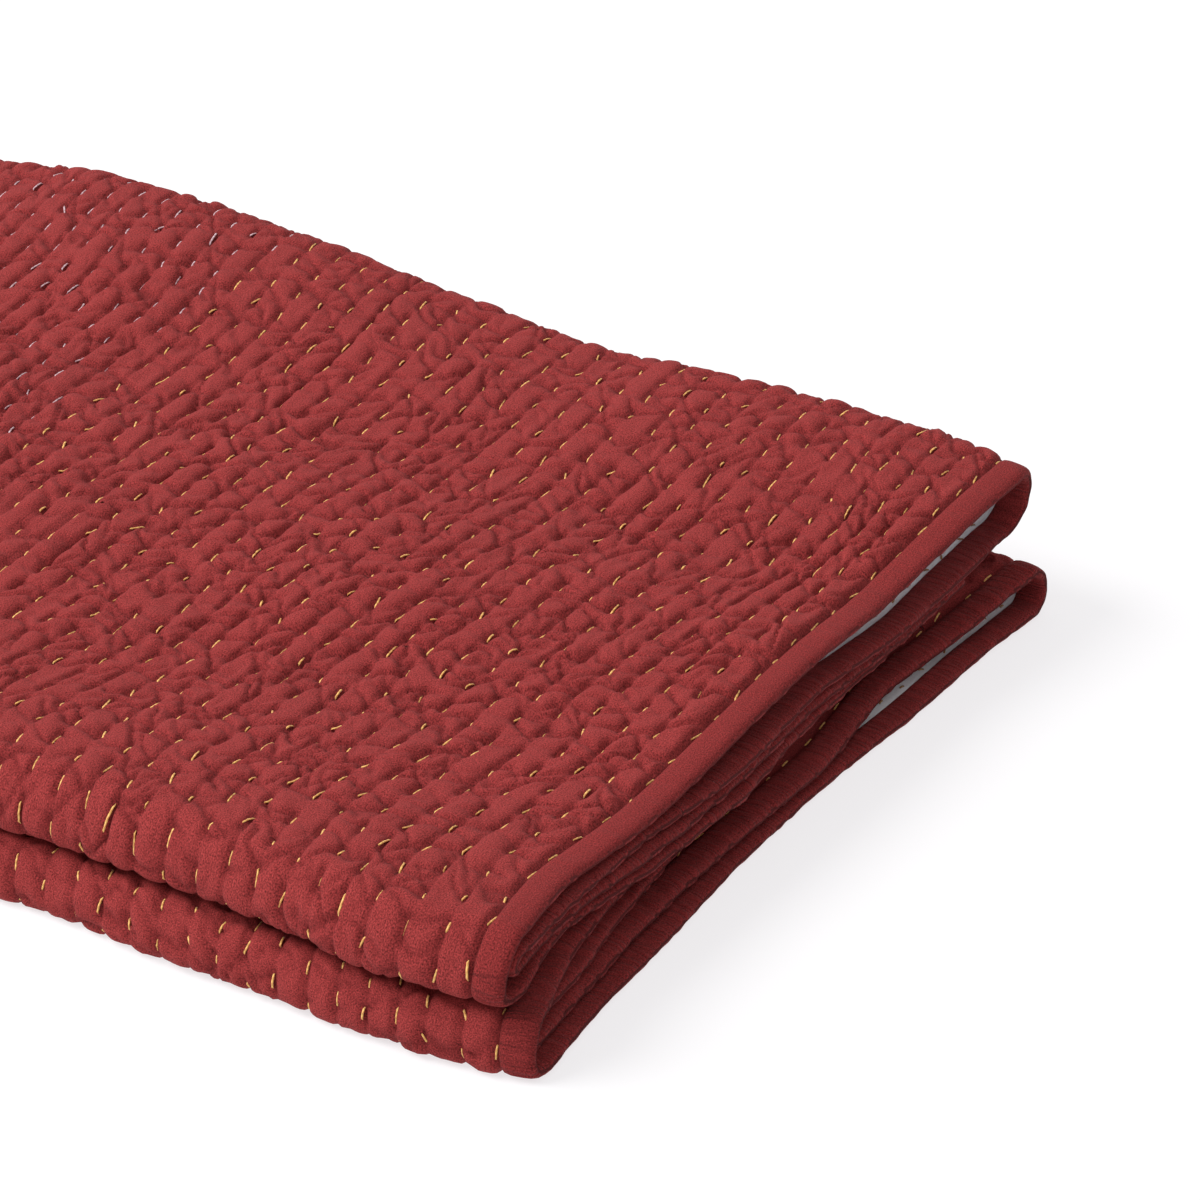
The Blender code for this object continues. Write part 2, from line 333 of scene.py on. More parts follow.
    def section(self, pack: Pack, to_bend: float) -> Array:
        """The line of the cloth across a pack.

        Args:
            pack: the pack.
            to_bend: the share of the way from the hem to the bend.

        Returns:
            The place across, the height and how far the hem stands out, for each path step.
        """
        width = self.width_at(to_bend)
        edge = mixed(self.edge_upper if pack is Pack.UPPER else self.edge_lower, self.edge_at_bend, to_bend)

        def gap(first: str, second: str, across: float) -> Any:
            """The distance in height between two layers, at a place across."""
            upper, lower = (self.height(pack, name, across, to_bend) for name in (first, second))
            return abs(upper - lower)

        tip = gap("over", "under_loop", 0.0)
        near = gap("outer", "over", 0.0) / 2
        far = width - gap("over", "under_loop", width) / 2
        inner = tip + gap("under_loop", "inner", 0.0) / 2
        flats = {"outer": (edge, near), "over": (near, far), "under_loop": (far, inner),
                 "inner": (inner, edge)}
        turns = {"outer_turn": ("outer", "over", near, 0.0), "loop": ("over", "under_loop", far, width),
                 "inner_turn": ("under_loop", "inner", inner, tip)}
        result = np.empty((len(self.paths), 3))
        for name, size in self.spans.items():
            chosen = (self.paths >= self.starts[name]) & (self.paths <= self.starts[name] + size + 1e-6)
            share = (self.paths[chosen] - self.starts[name]) / size
            if name in flats:
                across = mixed(*flats[name], share)
                high, out = (of(pack, name, across, to_bend) for of in (self.height, self.hem))
            else:
                first, second, centre, tip_at = turns[name]
                angle = np.pi * share
                bulge = np.sin(angle)
                if name == "outer_turn":
                    from_fold = share if pack is Pack.UPPER else 1 - share
                    bulge = np.sin(np.pi * from_fold ** self.droop)
                across = centre + (tip_at - centre) * bulge
                heights, hems = ([of(pack, layer, centre, to_bend) for layer in (first, second)]
                                 for of in (self.height, self.hem))
                high = mixed(*heights, (1 - np.cos(angle)) / 2)
                out = mixed(*hems, share)
            result[chosen] = np.stack((across, high, out), -1)
        beyond = self.paths > self.last_edge
        result[beyond] = result[~beyond][-1]
        return result

    def line(self, along: float) -> Array:
        """The middle of the cloth across the whole throw.

        Args:
            along: the distance from the top hem, in mm.

        Returns:
            A position for each path step, from the stack's near corner at the hems.
        """
        if along <= self.bend_start or along >= self.bend_end:
            pack = Pack.UPPER if along <= self.bend_start else Pack.LOWER
            from_hem = min(along, self.length - along)
            to_bend = from_hem / self.bend_start
            across, high, out = self.section(pack, to_bend).T
            across, high = self.swollen(pack, from_hem, across, high)
            return np.stack((out * (1 - eased(to_bend)) - from_hem, across, high), -1)
        angle = math.pi * (along - self.bend_start) / self.bend_length
        across, high, _ = self.section(Pack.UPPER, 1.0).T
        middle = mixed(self.height_near_at_bend, self.height_far_at_bend, across / self.width_at_bend) / 2
        radius = high - middle
        return np.stack((-self.bend_start - radius * math.sin(angle), across,
                         middle + radius * math.cos(angle)), -1)

    def swollen(self, pack: Pack, from_hem: float, across: Array, high: Array) -> tuple[Array, Array]:
        """A section, bulging where the stack does between its hems and its bend.

        Args:
            pack: the pack that it is of.
            from_hem: how far from the hems it lies.
            across: its places across.
            high: its heights.

        Returns:
            The places across and the heights, with the bulges.
        """
        is_upper = pack is Pack.UPPER
        swell_near = self.swell_near_upper if is_upper else self.swell_near_lower
        far, up, near = (float(np.interp(from_hem, self.swell_places, swell))
                         for swell in (self.swell_far, self.swell_up, swell_near))
        to_far = eased((across - self.far_side[0]) / self.far_side[1])
        to_near = eased((self.near_side[0] - across) / self.near_side[1])
        if is_upper:
            raised = high + up * to_far * eased((high - self.upper_part[0]) / self.upper_part[1])
            return across + far * to_far - near * to_near, raised
        return across + self.lower_pack_share * far * to_far - near * to_near, high

    def at(self, path: Array, along: Array, lift: Array) -> Array:
        """Where places on the flat cloth lie in the stack.

        Args:
            path: places across the throw.
            along: places along it.
            lift: how far each lies from the middle of the cloth, towards the red face.

        Returns:
            Positions in mm, in the frame's axes.
        """
        path, along, lift = np.broadcast_arrays(path, along, lift)
        u = np.clip((path - self.first_edge) / self.path_step, 0, len(self.paths) - 1.001)
        i = u.astype(int)
        place = np.clip(along, 0, self.length - 0.001)
        mm = place.astype(int)
        v = np.clip(between(self.knot_at, mm, i, place - mm, u - i), 0, len(self.knots) - 1.001)
        j = v.astype(int)
        where = (j, i, (v - j)[..., None], (u - i)[..., None])
        placed = between(self.middle, *where) + \
            normalized(between(self.normal, *where)) * lift[..., None] + self.shift
        placed[..., 2] = np.maximum(placed[..., 2], self.lowest)
        return placed

    def facing(self, path: Array, along: Array) -> Array:
        """The direction that the red face looks in, at places on the flat cloth."""
        above, middle = (self.at(path, along, of(path)) for of in (np.ones_like, np.zeros_like))
        return normalized(above - middle)


@dataclass
class Quilting:
    """The rows of running stitch and the puffs between them, over the whole flat throw."""

    throw: FoldedThrow
    binding_width: float = 11.2
    rows: int = 143
    stitch_pitch: float = 13.0
    # each stitch: its usual length, how much that varies, and its limits
    stitch_length: float = 4.7
    stitch_spread: float = 1.2
    stitch_limits: Pair = (2.4, 7.6)
    # how far it lies above the ground: less than 0 is sunk into it
    sinks: Pair = (-0.34, 0.16)
    # the puffs: their height, and how firmly the rows hold the cloth down between them
    puff: float = 3.3
    groove_lift: float = 0.1
    groove_width: float = 0.85
    groove_sharpness: float = 0.76
    slacks: Pair = (0.05, 0.64)
    uneven_slack: float = 0.22
    hold_reach: float = 2.2
    hold_at_seam: float = 0.93
    hold_at_stitch: float = 0.90
    most_hold: float = 0.95
    # the creases that each stitch pinches into the puffs beside it: a depth below 0 is no crease
    crease_depths: Pair = (-0.45, 1.3)
    deepest: float = 0.92
    crease_sizes: Pair = (6.0, 20.0)
    crease_widths: Pair = (0.5, 1.0)
    crease_sharpness: float = 0.74
    crease_fade: float = 1.15
    bends: Pair = (3.3, 1.2)
    # the unevenness of the whole
    folds: Pair = (0.30, 0.20)
    fold_width: float = 0.14
    fold_spread: float = 0.9
    uneven_puff: float = 0.34
    uneven_sag: float = 0.55
    uneven_fine: float = 0.06
    hem_lift: float = 0.5
    hem_ease: float = 2.4
    # how far the rows wander from straight, towards the hem: by row, at places across the top layer
    wander_rows: Table = (0, 4, 9, 17, 22, 29, 60)
    wander_paths: Table = (-60, 10, 110, 255, 320, 420)
    wander: tuple[Table, ...] = (
        (0, 0, 0, 0, 0, 0),
        (0, -2.4, 0.3, 8.6, 3.5, 0),
        (0, -3.5, -0.3, 9.0, 4.0, 0),
        (0, -4.0, 0.6, 5.0, 2.5, 0),
        (0, -2.0, 0.0, 2.0, -5.0, 0),
        (0, -1.0, 0.0, 0.0, -11.0, 0),
        (0, 0, 0, 0, 0, 0),
    )
    # how far the rows shake and the top layer rolls, and how far from the hems both begin
    shaking: float = 1.5
    shaking_ease: float = 30.0
    rolling: float = 0.9
    rolling_ease: float = 60.0
    # how strongly the cloth puckers: at places across the top layer
    strength_paths: Table = (-40, 0, 60, 100, 200, 250, 290, 330, 360, 420)
    strengths: Table = (0.5, 0.6, 0.85, 1.15, 1.1, 1.15, 0.75, 0.65, 0.7, 0.6)

    def __post_init__(self) -> None:
        """Sew every row: where each stitch starts, how long it shows and how it pinches the cloth."""
        throw, pitch = self.throw, self.stitch_pitch
        self.pitch = (throw.length - 2 * self.binding_width) / (self.rows - 1)
        self.columns = int((throw.last_edge - throw.first_edge) / pitch) + 2
        rng = np.random.default_rng(SEED)
        shape = (self.rows, self.columns)
        phase = np.cumsum(rng.normal(pitch * 0.42, 2.6, self.rows)) % pitch
        self.stitch_start = (throw.first_edge - pitch + phase[:, None] + np.arange(self.columns) * pitch
                             + rng.normal(0, 0.9, shape))
        self.stitch_size = np.clip(rng.normal(self.stitch_length, self.stitch_spread, shape),
                                   *self.stitch_limits)
        self.stitch_skew = rng.normal(0, 0.6, shape + (2,))
        self.slack = rng.uniform(*self.slacks, shape)
        # each end of a stitch pinches a crease into the puff on either side of its row
        creases = shape + (2, 2)
        self.crease_depth = np.clip(rng.uniform(*self.crease_depths, creases), 0, self.deepest)
        self.crease_slant = rng.normal(0.0, 0.5, creases) + np.array((-0.3, 0.3))[:, None]
        self.crease_curve = rng.normal(0.0, 0.06, creases)
        self.crease_size = rng.uniform(*self.crease_sizes, creases)
        self.crease_width = rng.uniform(*self.crease_widths, creases)
        self.stitch_sink = rng.uniform(*self.sinks, shape)
        self.swelling = Lumps(1, 15.0, 1.0)
        self.bend_a, self.bend_b = Lumps(10, 9.0, 8.0), Lumps(11, 5.0, 4.4)
        self.sag = Lumps(2, 34.0, 27.0)
        self.roll = Lumps(3, 88.0, 70.0)
        self.shake = Lumps(4, 26.0, 21.0)
        self.fold_a, self.fold_b = Lumps(5, 10.0, 15.0), Lumps(6, 7.0, 12.0)
        self.fold_mask = Lumps(7, 21.0, 19.0)
        self.tension = Lumps(8, 8.0, self.pitch * 0.9)
        self.fine = Lumps(9, 3.1, 3.4)

    def seam_of(self, row: Any) -> Any:
        """Where a row lies along the throw, before it wanders."""
        return self.binding_width + row * self.pitch

    def row(self, along: Array) -> Array:
        """Which row a place lies on, counted from the seam of the top hem, between rows in part."""
        return (along - self.binding_width) / self.pitch

    def wandering(self, path: Array, along: Array) -> Array:
        """How far the rows lie from straight.

        Args:
            path: places across the throw.
            along: places along it, before the rows wander.

        Returns:
            A distance along the throw for each place.
        """
        table = np.array(self.wander)
        column = np.interp(path, self.wander_paths, np.arange(len(self.wander_paths)))
        line = np.interp(self.row(along), self.wander_rows, np.arange(len(self.wander_rows)))
        i = np.clip(column.astype(int), 0, table.shape[1] - 2)
        j = np.clip(line.astype(int), 0, table.shape[0] - 2)
        drawn = between(table, j, i, eased(line - j), eased(column - i))
        from_hem = self.throw.from_hem(along) - self.binding_width
        return -drawn - self.shaking * self.shake.at(path, along) * eased(from_hem / self.shaking_ease)

    def held(self, path: Array, line: Array, nearest: Array) -> Array:
        """How firmly the rows hold the cloth down: more at their stitches than between them.

        Args:
            path: places across the throw.
            line: the row for each place.
            nearest: the stitch of that row that comes before each place.

        Returns:
            A share from 0 to 1 for each place.
        """
        distance = np.full_like(path, np.inf)
        for step in (-1, 0, 1):
            stitch = np.clip(nearest + step, 0, self.columns - 1)
            start = self.stitch_start[line, stitch]
            end = start + self.stitch_size[line, stitch]
            distance = np.minimum(distance, np.maximum(np.maximum(start - path, path - end), 0))
        loose = self.slack[line, np.clip(nearest, 0, self.columns - 1)]
        loose = loose + self.uneven_slack * self.tension.at(path, line * self.pitch * 1.37)
        is_seam = (line == 0) | (line == self.rows - 1)
        close = np.exp(-((distance / self.hold_reach) ** 2))
        hold = np.where(is_seam, self.hold_at_seam, mixed(loose, self.hold_at_stitch, close))
        return np.clip(hold, 0, self.most_hold)

    def pinched(self, path: Array, row: Array) -> Array:
        """How much of its puff the cloth keeps.

        Args:
            path: places across the throw.
            row: the row that each lies on, between rows in part.

        Returns:
            A share for each place, from 0 in a sewn groove to 1 at the top of a puff.
        """
        below = np.clip(np.floor(row).astype(int), 0, self.rows - 2)
        share = np.clip(row - below, 0, 1)
        kept = np.ones_like(path)
        along = row * self.pitch
        bend = self.bends[0] * self.bend_a.at(path, along) + self.bends[1] * self.bend_b.at(path, along)
        shaken = path + bend * np.sin(np.pi * share)
        for side in (0, 1):
            line = below + side
            distance = np.abs(share - side) * self.pitch
            nearest = np.floor((path - self.stitch_start[line, 0]) / self.stitch_pitch).astype(int)
            kept *= 1 - self.held(path, line, nearest) * \
                valley(distance, self.groove_width, self.groove_sharpness)
            for step in (-1, 0, 1, 2):
                stitch = np.clip(nearest + step, 0, self.columns - 1)
                for end in (0, 1):
                    key = (line, stitch, end, side)
                    dive = self.stitch_start[line, stitch] + end * self.stitch_size[line, stitch]
                    bent = self.crease_slant[key] * distance + self.crease_curve[key] * distance ** 2
                    off = np.abs(shaken - dive - bent)
                    fading = eased(self.crease_fade - distance / self.crease_size[key])
                    drawn_in = valley(off, self.crease_width[key], self.crease_sharpness)
                    kept *= 1 - self.crease_depth[key] * fading * drawn_in
        return kept

    def relief(self, path: Array, along: Array) -> tuple[Array, Array]:
        """How far the red face stands from the middle of the cloth, and how much of its puff it keeps.

        Args:
            path: places across the throw.
            along: places along it, before the rows wander.

        Returns:
            The height in mm, and a share from 0 to 1, for each place.
        """
        path, along = np.broadcast_arrays(path, along)
        row = self.row(along)
        strength = np.interp(path, self.strength_paths, self.strengths)
        kept = self.pinched(path, row)
        mask = eased(0.5 + self.fold_spread * self.fold_mask.at(path, along)) * strength
        for lumps, size in zip((self.fold_a, self.fold_b), self.folds):
            kept = kept * (1 - size * mask * np.exp(-np.abs(lumps.at(path, along)) / self.fold_width))
        swelling = 1.0 + self.uneven_puff * self.swelling.at(path, np.floor(row) * 7.3)
        share = np.sin(np.pi * (row - np.floor(row))) ** 2
        height = self.groove_lift + self.puff * mixed(1.0, swelling, share) * strength ** 0.5 * kept ** 0.7
        height = height + self.uneven_sag * self.sag.at(path, along) + \
            self.uneven_fine * self.fine.at(path, along)
        inside = self.throw.from_hem(along) - self.binding_width + self.hem_ease / 2
        return mixed(self.hem_lift, height, eased(inside / self.hem_ease)), kept

    def waves(self, path: Array, along: Array) -> Array:
        """The slow rise and fall of the top layer as a whole, in mm."""
        calm = eased(self.throw.from_hem(along) / self.rolling_ease)
        return self.rolling * self.roll.at(path, along) * calm


class Tint(Enum):
    """The colours of the quilting thread."""

    GOLD = "gold"
    ROSE = "rose"
    OCHRE = "ochre"


class Socket:
    """A shader socket that takes part in arithmetic: each operation adds a Math node."""

    def __init__(self, tree: bpy.types.NodeTree, output: bpy.types.NodeSocket) -> None:
        """Wrap an output of a node in that tree."""
        self.tree, self.output = tree, output

    def math(self, operation: str, other: Any = None, is_reflected: bool = False) -> "Socket":
        """Add a Math node.

        Args:
            operation: what it does.
            other: the value or Socket that it takes beside this one, if any.
            is_reflected: whether this one comes second.

        Returns:
            The node's output.
        """
        node = self.tree.nodes.new("ShaderNodeMath")
        node.operation = operation
        for target, value in zip(node.inputs, (other, self) if is_reflected else (self, other)):
            feed(target, value)
        return Socket(self.tree, node.outputs[0])

    __add__ = __radd__ = partialmethod(math, "ADD")
    __mul__ = __rmul__ = partialmethod(math, "MULTIPLY")
    __sub__ = partialmethod(math, "SUBTRACT")
    __rsub__ = partialmethod(math, "SUBTRACT", is_reflected=True)
    __pow__ = partialmethod(math, "POWER")
    __abs__ = partialmethod(math, "ABSOLUTE")
    sine = partialmethod(math, "SINE")
    at_least = partialmethod(math, "MAXIMUM")
    at_most = partialmethod(math, "MINIMUM")

    def clipped(self, low: float = 0.0, high: float = 1.0) -> "Socket":
        """The value, kept between two others."""
        return self.at_least(low).at_most(high)

    def ridged(self, sharpness: float) -> "Socket":
        """A noise made into lines: 0 where it passes its middle, and 1 away from there."""
        return (abs(self - 0.5) * sharpness).clipped()


def feed(target: bpy.types.NodeSocket, value: Any) -> None:
    """Give an input a value, link it to a Socket, or leave it at its own value for None."""
    if isinstance(value, Socket):
        value.tree.links.new(value.output, target)
    elif value is not None:
        target.default_value = value


class Shade:
    """A material under construction, with one method that adds any node."""

    def __init__(self, name: str) -> None:
        """Start a material with an empty shader and its output.

        Args:
            name: the material's name.
        """
        self.material = bpy.data.materials.new(name)
        self.material.use_nodes = True
        self.tree = self.material.node_tree
        self.tree.nodes.clear()
        self.surface = self.tree.nodes.new("ShaderNodeBsdfPrincipled")
        output = self.tree.nodes.new("ShaderNodeOutputMaterial")
        self.tree.links.new(self.surface.outputs[0], output.inputs["Surface"])

    def node(self, kind: str, settings: dict[str, Any], sockets: dict[Any, Any], output: Any = 0) -> Socket:
        """Add a node.

        Args:
            kind: the node's type, without its usual beginning.
            settings: its own properties, set first.
            sockets: values or Sockets for its inputs, by name or number.
            output: the output that is wanted, by name or number.

        Returns:
            That output, as a Socket.
        """
        node = self.tree.nodes.new("ShaderNode" + kind)
        for name, value in settings.items():
            setattr(node, name, value)
        for name, value in sockets.items():
            feed(node.inputs[name], value)
        return Socket(self.tree, node.outputs[output])

    def attribute(self, name: str, output: str = "Fac") -> Socket:
        """A value that the mesh carries."""
        return self.node("Attribute", {"attribute_name": name}, {}, output)

    def noise(self, place: Socket, scale: float, detail: float = 2.0) -> Socket:
        """Noise from 0 to 1 at places in mm, with that many lumps to a mm."""
        sockets = {"Vector": place, "Scale": scale, "Detail": detail, "Roughness": 0.55}
        return self.node("TexNoise", {"noise_dimensions": "3D"}, sockets, "Fac")

    def streaks(self, place: Socket, scale: Triple) -> Socket:
        """Noise that is drawn out along the throw, with so many lumps to a mm each way."""
        return self.noise(self.node("Mapping", {}, {"Vector": place, "Scale": scale}), 1.0)

    def waves(self, place: Socket, length: float) -> Socket:
        """The over and under of a plain weave.

        Args:
            place: places on the flat cloth.
            length: how long one over and under is.

        Returns:
            A height from 0 to 1.
        """
        parts = self.node("SeparateXYZ", {}, {0: place}).output.node.outputs
        warp, weft = ((Socket(self.tree, part) * (TURN / length)).sine() for part in parts[:2])
        return warp * weft * 0.5 + 0.5

    def mix(self, share: Any, first: Any, second: Any) -> Socket:
        """Two colours mixed by a share."""
        return self.node("Mix", {"data_type": "RGBA"}, {0: share, 6: first, 7: second}, 2)

    def bump(self, height: Socket, strength: float, distance: float) -> Socket:
        """The normal of a surface with that relief."""
        return self.node("Bump", {}, {"Strength": strength, "Distance": distance, "Height": height})

    def feed(self, **sockets: Any) -> None:
        """Give the shader values or Sockets, by its inputs' names with _ for a space."""
        for name, value in sockets.items():
            feed(self.surface.inputs[name.replace("_", " ")], value)


def opaque(colour: Colour, brightness: float = 1.0) -> tuple[float, float, float, float]:
    """A colour for a socket, made brighter or darker."""
    return (colour[0] * brightness, colour[1] * brightness, colour[2] * brightness, 1.0)


@dataclass(frozen=True)
class PlainWeave:
    """Matt cotton in plain weave, a little uneven in its dye, with painted shade darkening its grooves and
    a lighter colour on its crests, partly rubbed and partly painted highlight.
    """

    name: str
    colour: Colour
    # the crests' lighter colour: partly rubbed cloth, partly painted highlight
    worn_highlight: Colour
    # how much painted shade darkens the sewn grooves
    groove: float = 0.68
    wrinkles: float = 0.7
    yarn: float = 0.62
    # how much the colour varies: with the grain, the thick yarns and the dye, between two limits
    speckle: float = 3.3
    slubs: float = 0.16
    uneven_dye: float = 0.22
    tones: Pair = (0.35, 1.8)
    # how the colour lightens on the crests, partly rubbed and partly painted highlight, and darkens with
    # painted shade in the grooves and the strips' crinkles
    wear_and_highlight: float = 0.35
    worn_highlight_above: float = 0.28
    groove_shade_power: float = 1.35
    crinkle_painted_shade: float = 0.24
    painted_shade_brightness: float = 0.48
    slub_scale: Triple = (0.9, 0.12, 1.0)
    crinkle_scale: Triple = (0.27, 0.04, 1.0)
    # the relief: what each part adds, and the size, sharpness and height of the wrinkles
    weave_relief: float = 0.05
    grain_relief: float = 0.16
    slub_relief: float = 0.06
    crinkle_relief: float = 0.75
    wrinkle_kinds: tuple[Triple, ...] = ((0.085, 11.0, 0.26), (0.17, 9.0, 0.10))
    sheen: float = 0.03
    sheen_colour: Colour = (1.0, 0.72, 0.70)

    def material(self) -> bpy.types.Material:
        """Build the finish, from the values flat_mm, kept and crinkled that the mesh carries."""
        shade = Shade(self.name)
        place = shade.attribute("flat_mm", "Vector")
        weave = shade.waves(place, self.yarn)
        grain = shade.noise(place, 2.2)
        slub = shade.streaks(place, self.slub_scale)
        dye = shade.noise(place, 0.028, 3.0)
        tone = (grain - 0.5) * self.speckle + (slub - 0.5) * self.slubs + \
            (dye - 0.5) * self.uneven_dye + 1.0
        kept = shade.attribute("kept")
        # the crests lighten: partly rubbed cloth, partly painted highlight
        worn_highlight = ((kept - self.worn_highlight_above) * 1.25).clipped() * self.wear_and_highlight
        cloth = shade.mix(worn_highlight, opaque(self.colour), opaque(self.worn_highlight))
        crinkled = shade.attribute("crinkled")
        crinkle = shade.streaks(place, self.crinkle_scale).ridged(9.0) * crinkled
        # painted shade: darker colour in the sewn grooves and the strips' crinkles
        painted_shade = (1.0 - kept).clipped() ** self.groove_shade_power * self.groove
        painted_shade = (painted_shade + (crinkled - crinkle) * self.crinkle_painted_shade).clipped()
        cloth = shade.mix(painted_shade, cloth, opaque(self.colour, self.painted_shade_brightness))
        sockets = {0: cloth, "Scale": tone.clipped(*self.tones)}
        toned = shade.node("VectorMath", {"operation": "SCALE"}, sockets)
        large, small = (shade.noise(place, scale, 1.0).ridged(sharpness) * height
                        for scale, sharpness, height in self.wrinkle_kinds)
        height = weave * self.weave_relief + grain * self.grain_relief + slub * self.slub_relief + \
            (large + small) * self.wrinkles + crinkle * self.crinkle_relief
        shade.feed(Base_Color=toned, Normal=shade.bump(height, 0.85, MM), Roughness=0.93,
                   Sheen_Weight=self.sheen, Sheen_Roughness=0.45, Sheen_Tint=opaque(self.sheen_colour),
                   Specular_IOR_Level=0.14)
        return shade.material


@dataclass(frozen=True)
class TwistedThread:
    """Soft cotton quilting thread, of strands twisted together."""

    name: str
    colour: Colour
    shadow: Colour

    def material(self) -> bpy.types.Material:
        """Build the finish, from the values flat_mm and twist that the mesh carries."""
        shade = Shade(self.name)
        strands = (shade.attribute("twist") * TURN).sine() * 0.5 + 0.5
        fuzz = shade.noise(shade.attribute("flat_mm", "Vector"), 2.2)
        lit = (strands * 0.6 + fuzz * 0.4).clipped()
        shade.feed(Base_Color=shade.mix(lit, opaque(self.shadow), opaque(self.colour)),
                   Normal=shade.bump(strands, 0.8, 0.18 * MM), Roughness=0.62, Sheen_Weight=0.2)
        return shade.material


@dataclass
class Wardrobe:
    """Every finish of the quilt, made once."""

    # each cloth: its colour, then its crests' lighter colour, partly rubbed cloth and partly painted
    # highlight
    face_cloth: PlainWeave = PlainWeave("red_quilted_cotton", (0.260, 0.0296, 0.0294),
                                        (0.314, 0.0440, 0.0410))
    binding_cloth: PlainWeave = PlainWeave("red_binding_cotton", (0.214, 0.0222, 0.0222),
                                           (0.252, 0.0310, 0.0300), groove=0.5, wrinkles=0.45)
    back_cloth: PlainWeave = PlainWeave("white_back_cotton", (0.93, 0.93, 0.96), (0.95, 0.95, 0.97),
                                        groove=0.25, speckle=0.14)
    yarns: dict[Tint, TwistedThread] = field(default_factory=lambda: {
        Tint.GOLD: TwistedThread("gold_thread", (1.0, 0.64, 0.18), (0.74, 0.32, 0.08)),
        Tint.ROSE: TwistedThread("rose_thread", (0.82, 0.60, 0.63), (0.46, 0.26, 0.29)),
        Tint.OCHRE: TwistedThread("ochre_thread", (0.44, 0.22, 0.075), (0.24, 0.11, 0.04)),
    })

    def __post_init__(self) -> None:
        """Make the materials."""
        self.face, self.binding, self.back = (
            cloth.material() for cloth in (self.face_cloth, self.binding_cloth, self.back_cloth))
        self.threads = {tint: yarn.material() for tint, yarn in self.yarns.items()}


def new_object(name: str, data: Any, place: Matrix = Matrix.Identity(4)) -> bpy.types.Object:
    """Add an object to the scene.

    Args:
        name: its name.
        data: its mesh, lamp or camera.
        place: where it stands and which way it is turned.

    Returns:
        The object.
    """
    item = bpy.data.objects.new(name, data)
    item.matrix_world = place
    bpy.context.scene.collection.objects.link(item)
    return item


def new_piece(name: str, points: Array, faces: Array, material: bpy.types.Material,
              extras: dict[str, Array]) -> bpy.types.Object:
    """A smooth mesh object that belongs to the quilt.

    Args:
        name: the piece's name.
        points: positions in mm, in any grid of them.
        faces: the corners of its faces, one row each, all of the same number.
        material: its finish.
        extras: values for each point, for its shader, by name: vectors for flat_mm, and else numbers.

    Returns:
        The object, riding on the stack.
    """
    mesh = bpy.data.meshes.new(name)
    mesh.vertices.add(points.size // 3)
    mesh.vertices.foreach_set("co", (points * MM).astype(np.float32).ravel())
    mesh.loops.add(faces.size)
    mesh.loops.foreach_set("vertex_index", faces.astype(np.int32).ravel())
    mesh.polygons.add(len(faces))
    mesh.polygons.foreach_set("loop_start", np.arange(0, faces.size, faces.shape[1], dtype=np.int32))
    mesh.update(calc_edges=True)
    mesh.validate()
    for key, values in extras.items():
        kind, part = ("FLOAT_VECTOR", "vector") if key == "flat_mm" else ("FLOAT", "value")
        mesh.attributes.new(key, kind, "POINT").data.foreach_set(part, values.astype(np.float32).ravel())
    mesh.shade_smooth()
    mesh.materials.append(material)
    item = new_object(name, mesh)
    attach(item, "root")
    log.info("%s: %d triangles", name, triangles(item))
    return item


def triangles(item: bpy.types.Object) -> int:
    """How many triangles a mesh object has."""
    return len(item.data.loops) - 2 * len(item.data.polygons)


def grid_faces(lines: int, stations: int, is_turned: bool = False) -> Array:
    """The quads of a grid of points that is kept line by line.

    Args:
        lines: how many lines it has.
        stations: how many points a line has.
        is_turned: whether the quads look the other way.

    Returns:
        The corners of the quads, one row each.
    """
    at = np.arange(lines * stations).reshape(lines, stations)
    quads = np.stack((at[:-1, :-1], at[:-1, 1:], at[1:, 1:], at[1:, :-1]), -1).reshape(-1, 4)
    return quads[:, ::-1 if is_turned else 1]


@dataclass(frozen=True)
class Panel:
    """A stretch of the flat cloth that is made as one mesh, and how finely."""

    name: str
    path: Pair
    along: Pair
    path_step: float = 5.5
    lines_to_row: int = 3


@dataclass
class Sewing:
    """What every part of the quilt is made from."""

    throw: FoldedThrow
    quilting: Quilting
    wardrobe: Wardrobe


